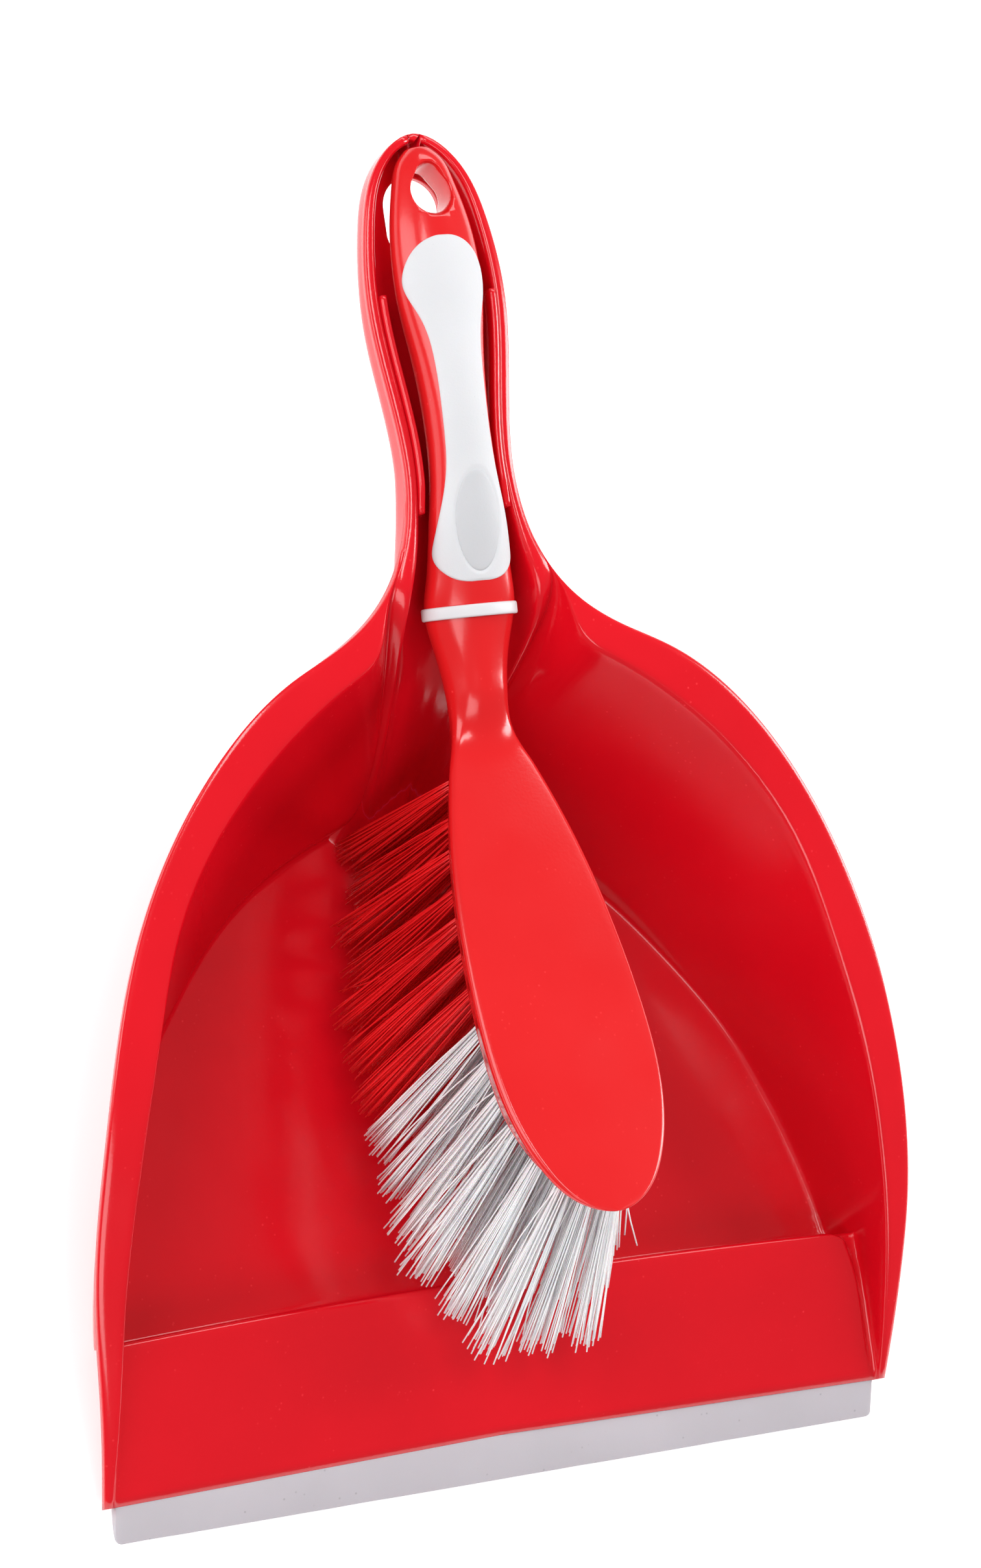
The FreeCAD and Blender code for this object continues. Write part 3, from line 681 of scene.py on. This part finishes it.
def head_section(half_width, depth, inset, edge, crown):
    """Right half of the head's section, from the top's middle to the base's."""
    edge = min(edge, half_width * 0.8)
    foot = max(half_width - inset, half_width * 0.55)
    lower = min(1.6, foot * 0.6)
    points = []
    flat = half_width - edge
    for t in np.linspace(0, 1, QUARTER[0], endpoint=False):
        points.append((flat * t, crown * (1 - t * t)))
    for a in np.linspace(0, math.pi / 2, QUARTER[1], endpoint=False):
        points.append((flat + edge * math.sin(a), -edge + edge * math.cos(a)))
    for t in np.linspace(0, 1, QUARTER[2], endpoint=False):
        points.append((half_width + (foot - half_width) * t,
                       -edge + (-depth + lower + edge) * t))
    for a in np.linspace(0, math.pi / 2, QUARTER[3], endpoint=False):
        points.append((foot - lower + lower * math.cos(a),
                       -depth + lower - lower * math.sin(a)))
    for t in np.linspace(0, 1, QUARTER[4]):
        points.append(((foot - lower) * (1 - t), -depth))
    return np.array(points)


def ellipse_section(half_width, half_height):
    """Right half of the handle's section, with points that match the head's."""
    marks = np.radians([90, 38, 8, -12, -45, -90])
    angles = []
    for i, count in enumerate(QUARTER):
        last = i == len(QUARTER) - 1
        angles += list(np.linspace(marks[i], marks[i + 1], count, endpoint=last))
    angles = np.array(angles)
    return np.column_stack([half_width * np.cos(angles), half_height * np.sin(angles)])


def handle_section(y, share):
    """Right half of the handle's section at y, scaled by share."""
    z, w, h = (float(v[0]) for v in handle_at(y))
    half = ellipse_section(w * share, h * share)
    return np.column_stack([half[:, 0], np.full(len(half), y), z + half[:, 1]])


def brush_sections():
    """Sections of the brush from the handle's end to the head's tip."""
    end_y, start, tip = HANDLE[0][0], HEAD[0][1], HEAD[-1][1]
    cap = -104.0                # from here the sections draw closer together
    built = [handle_section(end_y - 0.9 * (1 - math.sin(a)), math.cos(a))
             for a in np.radians(np.linspace(90, 8, 10))]
    for y in np.concatenate([np.linspace(329.3, 316.0, 16), np.linspace(314.5, 206.0, 74),
                             np.linspace(205.0, 196.0, 8)]):
        built.append(handle_section(y, 1.0))
    # The head's sections stand square to its own axis; they close up at its tip
    # and blend into the handle's at its start.
    alongs = list(np.linspace(start, cap, 84))
    alongs += [tip + (cap - tip) * (1 - math.sin(a)) for a in np.radians(np.linspace(3, 86, 26))]
    depth = HEAD_THICKNESS
    for along in alongs:
        w = float(head_half_width(along))
        squash = math.sqrt(max(w, 0.3) / 10.0) if w < 10 and along < 0 else 1.0
        inset = 3.0 + 3.0 * float(smoothstep(-84, -112, along))
        half = head_section(max(w, 0.3), depth, inset, 1.6 * min(1.0, squash), 0.35)
        undercut = 5.0 * float(smoothstep(-98, -116, along))
        back = undercut * np.minimum(half[:, 1] / depth, 0)
        placed = head_point(half[:, 0], along - back, half[:, 1])
        near = smoothstep(2, start, along)
        if near > 0:
            y = HEAD_ORIGIN[1] + along * math.cos(math.radians(HEAD_TILT))
            placed = (1 - near) * placed + near * handle_section(y, 1.0)
        built.append(placed)
    return built


def make_brush_body():
    """Handle, neck and head as one continuous form, with the hanging hole."""
    rings = [np.vstack([half, half[-2:0:-1] * [-1, 1, 1]]) for half in brush_sections()]
    faces = tube_faces(len(rings), len(rings[0]), True)
    body = make_object("brush_form", np.vstack(rings), faces)
    tidy_mesh(body, merge=1e-5)
    cut_away(body, egg_cutter())
    tidy_mesh(body)
    return body


def egg_points(grow):
    """Egg-shaped outline of the hanging hole, wider towards the grip."""
    wide, narrow, wide_y, narrow_y = 5.6 + grow, 3.4 + grow, 317.4, 321.4
    rise = (wide - narrow) / (narrow_y - wide_y)
    tilt = math.asin(rise)
    points = []
    for a in np.linspace(tilt, math.pi - tilt, 22):
        points.append((narrow * math.cos(a), narrow_y + narrow * math.sin(a)))
    for a in np.linspace(math.pi - tilt, 2 * math.pi + tilt, 46):
        points.append((wide * math.cos(a), wide_y + wide * math.sin(a)))
    return points


def egg_cutter():
    """Column for the hanging hole, flared where it leaves the handle."""
    middle, _, half_height = (float(v[0]) for v in handle_at(318.0))
    top, bottom = middle + half_height, middle - half_height
    levels = [(bottom - 3.0, 2.6), (bottom - 0.2, 1.0), (bottom + 0.9, 0.25), (bottom + 1.9, 0.0),
              (top - 2.1, 0.0), (top - 1.1, 0.25), (top, 1.0), (top + 3.0, 2.6)]
    vertices = []
    for z, grow in levels:
        vertices += [(x, y, z) for x, y in egg_points(grow)]
    faces = tube_faces(len(levels), len(egg_points(0.0)))
    cutter = make_object("egg_cutter", vertices, faces, smooth=False)
    tidy_mesh(cutter)
    return cutter


def grip_half_width(y):
    """Half width of the grip at y, from its outline as a closed smooth loop."""
    half = np.array(GRIP, float)
    whole = np.vstack([half, half[-2:0:-1] * [-1, 1]])
    loop = np.vstack([whole, whole[:1]])
    three = np.vstack([whole[-3:], loop, whole[1:4]])
    knots = chord(three)
    dense = cubic(knots, three, np.linspace(knots[3], knots[3 + len(half) - 1], 500))
    return np.interp(y, dense[::-1, 1], np.maximum(dense[::-1, 0], 0))


def on_handle(x, y, raised):
    """Points on the handle's upper surface, moved outwards by raised."""
    z, w, h = handle_at(y)
    t = np.clip(x / w, -0.999, 0.999)
    up = np.sqrt(1 - t * t)
    normal = np.column_stack([t / w, np.zeros_like(t), up / h])
    normal /= np.linalg.norm(normal, axis=1)[:, None]
    surface = np.column_stack([w * t, y, z + h * up])
    return surface + normal * np.asarray(raised)[:, None]


def make_grip():
    """Soft grip: a skin a little proud of the handle, with a hollow for the pad."""
    rows, columns = 210, 61
    turn = np.linspace(0, math.pi, rows)
    middle, reach = (GRIP_BACK + GRIP_FRONT) / 2, (GRIP_BACK - GRIP_FRONT) / 2 - 0.02
    ys = middle - reach * np.cos(turn)
    vertices = []
    for y in ys:
        half = max(float(grip_half_width(y)), 0.12)
        u = np.sin(np.linspace(-math.pi / 2, math.pi / 2, columns))
        u = 0.55 * u + 0.45 * np.linspace(-1, 1, columns)
        x = u * half
        edge = np.minimum((1 - np.abs(u)) * half, min(y - GRIP_FRONT, GRIP_BACK - y) + 0.001)
        swell = np.sqrt(1 - (1 - np.clip(edge / GRIP_EDGE, 0, 1)) ** 2)
        raised = -GRIP_SUNK + (SKIN + GRIP_PROUD) * swell
        pad = np.hypot(x / PAD_WIDE, (y - PAD_MIDDLE) / PAD_LONG)
        raised -= PAD_HOLLOW * (1 - smoothstep(0.97, 1.05, pad))
        vertices.append(on_handle(x, np.full(columns, y), raised))
    grip = make_object("grip_skin", np.vstack(vertices), grid_faces(rows, columns))
    tidy_mesh(grip)
    thicken(grip, 0.5)
    return grip


def make_pad():
    """Thumb pad: a shallow dished oval set into the grip."""
    rings, spokes = 16, 96
    vertices = [on_handle(np.zeros(1), np.array([PAD_MIDDLE]), np.array([0.10]))[0]]
    for r in np.linspace(0, 1, rings)[1:]:
        a = np.linspace(0, 2 * math.pi, spokes, endpoint=False)
        x, y = PAD_WIDE * r * np.cos(a), PAD_MIDDLE + PAD_LONG * r * np.sin(a)
        raised = np.full(spokes, 0.10 + 0.12 * r ** 2 - (0.25 if r > 0.995 else 0.0))
        vertices += list(on_handle(x, y, raised))
    faces = [(0, 1 + i, 1 + (i + 1) % spokes) for i in range(spokes)]
    faces += grid_faces(rings - 1, spokes, start=1, closed=True)
    pad = make_object("pad_oval", vertices, faces)
    tidy_mesh(pad)
    thicken(pad, 0.3)
    return pad


def make_ring():
    """Neck ring: a rounded band round the neck, square to the handle there."""
    around, tilt = 128, math.radians(RING_TILT)
    band = []
    for cx, cy, start in ((0.9, 0.9, 0), (-0.9, 0.9, 90), (-0.9, -0.9, 180), (0.9, -0.9, 270)):
        for a in np.radians(np.linspace(start, start + 90, 5)):
            band.append((cx * 1.1 + 0.6 * math.cos(a), cy * 0.5 + 0.45 * math.sin(a)))
    vertices = []
    for a in np.linspace(0, 2 * math.pi, around, endpoint=False):
        for along, out in band:
            x = (RING_WIDE + out) * math.cos(a)
            z = (RING_HIGH + out) * math.sin(a)
            vertices.append((x, RING_Y + along * math.cos(tilt) - z * math.sin(tilt),
                             RING_Z + z * math.cos(tilt) + along * math.sin(tilt)))
    faces = grid_faces(around + 1, len(band), closed=True)
    faces = [tuple(i % len(vertices) for i in face) for face in faces]
    ring = make_object("ring_band", vertices, faces)
    tidy_mesh(ring)
    return ring


# ------------------------------------------------------------------ bristles
SIDES = 5
STEPS = 6
FILAMENT_RADIUS = 0.20


def filament(root, tip, sag, radius):
    """Vertices of one thin tube from root to tip, bowed by sag."""
    t = np.linspace(0, 1, STEPS + 1)[:, None]
    line = root + (tip - root) * t + sag * (4 * t * (1 - t))
    direction = (tip - root) / np.linalg.norm(tip - root)
    side = np.cross(direction, [0.3, 1.0, 0.2])
    side /= np.linalg.norm(side)
    other = np.cross(direction, side)
    ring = [math.cos(a) * side + math.sin(a) * other
            for a in np.linspace(0, 2 * math.pi, SIDES, endpoint=False)]
    return (line[:, None, :] + radius * np.array(ring)[None]).reshape(-1, 3)


def make_row(name, along, count, free_length, seed):
    """One row of tufts, filament by filament."""
    random = np.random.default_rng(seed)
    lean = math.radians((along - LEAN_MIDDLE) * LEAN_PER_MM)
    vertices, faces = [], []
    base_faces = tube_faces(STEPS + 1, SIDES)
    for i in range(count):
        x = (i - (count - 1) / 2) * TUFT_PITCH
        spread = math.radians(x * SPREAD_PER_MM)
        for _ in range(FILAMENTS_PER_TUFT):
            a, r = random.uniform(0, 2 * math.pi), math.sqrt(random.uniform(0, 1))
            off = np.array([math.cos(a), math.sin(a)]) * r
            wild = STRAY_FACTOR if random.uniform() < STRAY_SHARE else 1.0
            flare = np.array([math.tan(spread), math.tan(lean)]) + off * TUFT_FLARE
            flare += random.normal(0, 0.012, 2) * wild
            length = free_length + random.normal(0, 0.8)
            length -= 0 if wild == 1 else abs(random.normal(0, 2))
            direction = np.array([flare[0], flare[1], -1.0])
            direction /= np.linalg.norm(direction)
            root = np.array([x, along, -HEAD_THICKNESS + 1.0])
            root += [off[0] * TUFT_RADIUS, off[1] * TUFT_RADIUS, 0]
            tip = root + direction * (length + 1.0)
            sag = np.array([random.normal(0, 0.35), random.normal(0, 0.35), 0]) * wild
            world = head_point(*np.array([root, tip]).T)
            turn = head_point(*np.array([sag, [0, 0, 0]]).T)
            tube = filament(world[0], world[1], turn[0] - turn[1], FILAMENT_RADIUS)
            start = len(vertices)
            vertices += tube.tolist()
            faces += [tuple(start + k for k in f) for f in base_faces]
    return make_object(name, vertices, faces)


# ------------------------------------------------------------------ materials
class Nodes:
    """Short names for building one material's nodes."""

    def __init__(self, name):
        self.material = bpy.data.materials.new(name)
        self.material.use_nodes = True
        self.tree = self.material.node_tree
        self.shader = self.tree.nodes["Principled BSDF"]
        self.place = self.tree.nodes.new("ShaderNodeTexCoord").outputs["Object"]

    def node(self, kind, **settings):
        item = self.tree.nodes.new(kind)
        for key, value in settings.items():
            setattr(item, key, value)
        return item

    def link(self, source, target):
        self.tree.links.new(source, target)

    def noise(self, scale, detail=3.0, roughness=0.5, stretch=None):
        item = self.node("ShaderNodeTexNoise")
        item.inputs["Scale"].default_value = scale
        item.inputs["Detail"].default_value = detail
        item.inputs["Roughness"].default_value = roughness
        place = self.place
        if stretch:
            mapping = self.node("ShaderNodeMapping")
            mapping.inputs["Scale"].default_value = stretch
            self.link(place, mapping.inputs["Vector"])
            place = mapping.outputs["Vector"]
        self.link(place, item.inputs["Vector"])
        return item.outputs["Fac"]

    def ramp(self, value, stops):
        item = self.node("ShaderNodeValToRGB")
        elements = item.color_ramp.elements
        while len(elements) < len(stops):
            elements.new(0.5)
        for element, (position, colour) in zip(elements, stops):
            element.position = position
            element.color = (*colour, 1.0) if len(colour) == 3 else colour
        self.link(value, item.inputs["Fac"])
        return item.outputs["Color"]

    def spread(self, value, low, high, start=0.3, end=0.7):
        item = self.node("ShaderNodeMapRange")
        item.inputs["From Min"].default_value = start
        item.inputs["From Max"].default_value = end
        item.inputs["To Min"].default_value = low
        item.inputs["To Max"].default_value = high
        self.link(value, item.inputs["Value"])
        return item.outputs["Result"]

    def add(self, a, b):
        item = self.node("ShaderNodeMath", operation="ADD")
        self.link(a, item.inputs[0])
        self.link(b, item.inputs[1])
        return item.outputs[0]

    def specks(self, scale, size):
        """1 in small scattered dots, 0 elsewhere."""
        cells = self.node("ShaderNodeTexVoronoi")
        cells.inputs["Scale"].default_value = scale
        self.link(self.place, cells.inputs["Vector"])
        return self.spread(cells.outputs["Distance"], 1.0, 0.0, size * 0.4, size)

    def mix(self, share, a, b):
        item = self.node("ShaderNodeMix", data_type="RGBA")
        self.link(share, item.inputs["Factor"])
        for value, socket in ((a, item.inputs[6]), (b, item.inputs[7])):
            if isinstance(value, tuple):
                socket.default_value = (*value, 1.0)
            else:
                self.link(value, socket)
        return item.outputs[2]

    def bump(self, value, strength, distance):
        item = self.node("ShaderNodeBump")
        item.inputs["Strength"].default_value = strength
        item.inputs["Distance"].default_value = distance
        self.link(value, item.inputs["Height"])
        self.link(item.outputs["Normal"], self.shader.inputs["Normal"])

    def set(self, **values):
        for key, value in values.items():
            self.shader.inputs[key.replace("_", " ")].default_value = value


def red_plastic(name, base, deep, roughness, scuffs):
    """Glossy injection-moulded polypropylene."""
    n = Nodes(name)
    cloud = n.noise(22.0, 4.0)
    colour = n.ramp(cloud, [(0.3, deep), (0.7, base)])
    dust = n.specks(420.0, 0.16)
    thin = n.noise(60.0, 2.0)
    dust_share = n.node("ShaderNodeMath", operation="MULTIPLY")
    n.link(dust, dust_share.inputs[0])
    n.link(n.spread(thin, 0.0, 0.5, 0.5, 0.7), dust_share.inputs[1])
    colour = n.mix(dust_share.outputs[0], colour, tuple(min(1.0, c * 1.5 + 0.05) for c in base))
    n.link(colour, n.shader.inputs["Base Color"])
    fine = n.noise(1400.0, 2.0)
    broad = n.noise(35.0, 2.0)
    if scuffs:
        streak = n.noise(25.0, 5.0, 0.65, stretch=(2.0, 0.7, 1.0))
        rough = n.add(n.spread(broad, roughness - 0.03, roughness + 0.03),
                      n.spread(streak, 0.0, scuffs, 0.52, 0.75))
    else:
        rough = n.spread(broad, roughness - 0.03, roughness + 0.04)
    n.link(rough, n.shader.inputs["Roughness"])
    n.bump(n.add(n.spread(fine, 0.0, 0.12), n.spread(broad, 0.0, 1.0)), 0.10, 0.0006)
    n.set(Specular_IOR_Level=0.5, Coat_Weight=0.15, Coat_Roughness=0.06,
          Subsurface_Weight=0.05, Subsurface_Scale=0.002)
    n.shader.inputs["Subsurface Radius"].default_value = (1.0, 0.25, 0.2)
    return n.material


def rubber(name, base, dark, roughness, grain, speck):
    """Matte thermoplastic rubber with a fine grain and a few specks."""
    n = Nodes(name)
    cloud = n.noise(30.0, 4.0)
    colour = n.ramp(cloud, [(0.32, dark), (0.68, base)])
    colour = n.mix(n.specks(260.0, speck), colour, tuple(c * 0.72 for c in base))
    n.link(colour, n.shader.inputs["Base Color"])
    fine = n.noise(grain, 3.0, 0.6)
    n.link(n.spread(fine, roughness - 0.06, roughness + 0.06), n.shader.inputs["Roughness"])
    n.bump(fine, 0.22, 0.0002)
    n.set(Specular_IOR_Level=0.4, Subsurface_Weight=0.06, Subsurface_Scale=0.0015)
    return n.material


def bristle(name, base, dark, roughness):
    """Polymer filament: slightly see-through, with a sheen along it."""
    n = Nodes(name)
    colour = n.ramp(n.noise(140.0, 3.0, stretch=(1.0, 1.0, 0.25)), [(0.3, dark), (0.7, base)])
    n.link(colour, n.shader.inputs["Base Color"])
    n.link(n.spread(n.noise(500.0, 2.0), roughness - 0.05, roughness + 0.08),
           n.shader.inputs["Roughness"])
    n.set(Specular_IOR_Level=0.5, Subsurface_Weight=0.15, Subsurface_Scale=0.001)
    return n.material


def metal(name):
    """Plain drawn wire."""
    n = Nodes(name)
    n.link(n.ramp(n.noise(200.0), [(0.3, (0.45, 0.44, 0.42)), (0.7, (0.62, 0.61, 0.6))]),
           n.shader.inputs["Base Color"])
    n.set(Metallic=1.0, Roughness=0.35)
    return n.material


def paint(item, material):
    item.data.materials.clear()
    item.data.materials.append(material)


# ------------------------------------------------------------------ assembly
PAN_RED = red_plastic("pan_red", (0.72, 0.004, 0.013), (0.66, 0.003, 0.011), 0.16, 0.02)
BRUSH_RED = red_plastic("brush_red", (0.70, 0.012, 0.014), (0.66, 0.010, 0.012), 0.18, 0.0)
GRIP_WHITE = rubber("grip_white", (0.66, 0.66, 0.68), (0.62, 0.62, 0.64), 0.6, 1500.0, 0.05)
PAD_GREY = rubber("pad_grey", (0.56, 0.56, 0.58), (0.53, 0.53, 0.55), 0.5, 1200.0, 0.04)
RING_WHITE = rubber("ring_white", (0.68, 0.67, 0.69), (0.64, 0.63, 0.65), 0.4, 900.0, 0.03)
LIP_GREY = rubber("lip_grey", (0.55, 0.51, 0.55), (0.51, 0.475, 0.51), 0.45, 700.0, 0.10)
RED_BRISTLE = bristle("red_bristle", (0.95, 0.020, 0.024), (0.85, 0.012, 0.016), 0.34)
WHITE_BRISTLE = bristle("white_bristle", (0.97, 0.96, 0.97), (0.90, 0.89, 0.91), 0.36)
WIRE = metal("anchor_wire_metal")


def settle(item, material, body, slot, *nodes):
    """Gives a piece its material and its body, and hides the nodes it replaces; slot is not used.
    """
    paint(item, material)
    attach(item, body)
    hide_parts(*nodes)


def build_pan():
    shell = make_pan()
    cut_away(shell, slot_cutter(8.0, 3.0, 314.0, 60.0, 100.0))
    tidy_mesh(shell)
    pan = join("pan_moulding", [shell, make_rib(1), make_rib(-1)])
    settle(pan, PAN_RED, "pan", "red_plastic", "pan_body")
    settle(make_lip(), LIP_GREY, "pan", "grey_rubber", "pan_lip")


def build_brush():
    settle(make_brush_body(), BRUSH_RED, "brush", "red_plastic", "brush_body")
    settle(make_grip(), GRIP_WHITE, "brush", "white_rubber", "handle_grip")
    settle(make_pad(), PAD_GREY, "brush", "pad_rubber", "thumb_pad")
    settle(make_ring(), RING_WHITE, "brush", "white_rubber", "neck_ring")
    rows = [("red", i + 1, c) for i, c in enumerate(RED_ROWS)]
    rows += [("white", i + 1, c) for i, c in enumerate(WHITE_ROWS)]
    for index, (colour, number, count) in enumerate(rows):
        along = FIRST_ROW - index * ROW_PITCH
        piece = make_row("%s_bristles_%d" % (colour, number), along, count,
                         TUFT_LENGTH + index * TUFT_GROWTH, FIRST_SEED + index)
        material = RED_BRISTLE if colour == "red" else WHITE_BRISTLE
        settle(piece, material, "brush", colour + "_filament", "%s_tuft_row_%d" % (colour, number))


build_pan()
build_brush()
paint(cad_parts["tuft_anchors"], WIRE)


# ------------------------------------------------------------------ stage, light and camera
def make_floor():
    """A white floor that glows a little, so that it stays white."""
    bpy.ops.mesh.primitive_plane_add(size=8.0, location=(0, 0, 0))
    floor = bpy.context.object
    floor.name = "floor"
    n = Nodes("floor_white")
    n.link(n.ramp(n.noise(3.0), [(0.3, (0.90, 0.90, 0.90)), (0.7, (0.92, 0.92, 0.92))]),
           n.shader.inputs["Base Color"])
    n.set(Roughness=0.9, Specular_IOR_Level=0.1, Emission_Strength=0.4)
    n.shader.inputs["Emission Color"].default_value = (1.0, 1.0, 1.0, 1.0)
    paint(floor, n.material)


def area_light(name, place, target, size, power):
    """A white soft box at place that points at target."""
    data = bpy.data.lights.new(name, "AREA")
    data.shape = "RECTANGLE"
    data.size, data.size_y = size
    data.energy = power
    lamp = new_object(name, data)
    lamp.location = place
    aim = Vector(target) - Vector(place)
    lamp.rotation_euler = aim.to_track_quat("-Z", "Y").to_euler()


def make_camera():
    """A long lens above the front left, turned a little about its own axis."""
    data = bpy.data.cameras.new("camera")
    data.lens = 126.24
    data.sensor_width = 36.0
    data.clip_start, data.clip_end = 0.05, 20.0
    camera = new_object("camera", data)
    place = (-0.60782, -0.20254, 1.2941)
    right = Vector((0.89338, -0.17998, 0.41167))
    up = Vector((0.09848, 0.97242, 0.21143))
    back = right.cross(up).normalized()
    turn = Matrix((right, back.cross(right), back)).transposed()
    camera.matrix_world = Matrix.Translation(place) @ turn.to_4x4()
    bpy.context.scene.camera = camera


make_floor()
area_light("left_box", (-1.35, 0.35, 1.15), (0, 0, 0.03), (1.1, 1.5), 21)
area_light("front_box", (-0.45, -1.15, 1.45), (0, 0, 0), (1.0, 0.8), 9)
area_light("back_box", (0.9, 1.5, 1.2), (0, 0, 0), (1.5, 0.7), 14)
area_light("right_fill", (1.7, 0.1, 0.62), (0, 0, 0.03), (0.4, 1.7), 24)
area_light("top_strip", (-0.1, 0.25, 1.9), (0, 0, 0), (0.3, 0.9), 8)
make_camera()
world = bpy.data.worlds.new("world")
world.use_nodes = True
world.node_tree.nodes["Background"].inputs["Color"].default_value = (1.0, 1.0, 1.0, 1.0)
world.node_tree.nodes["Background"].inputs["Strength"].default_value = 0.22
bpy.context.scene.world = world
bpy.context.scene.view_settings.view_transform = "Standard"
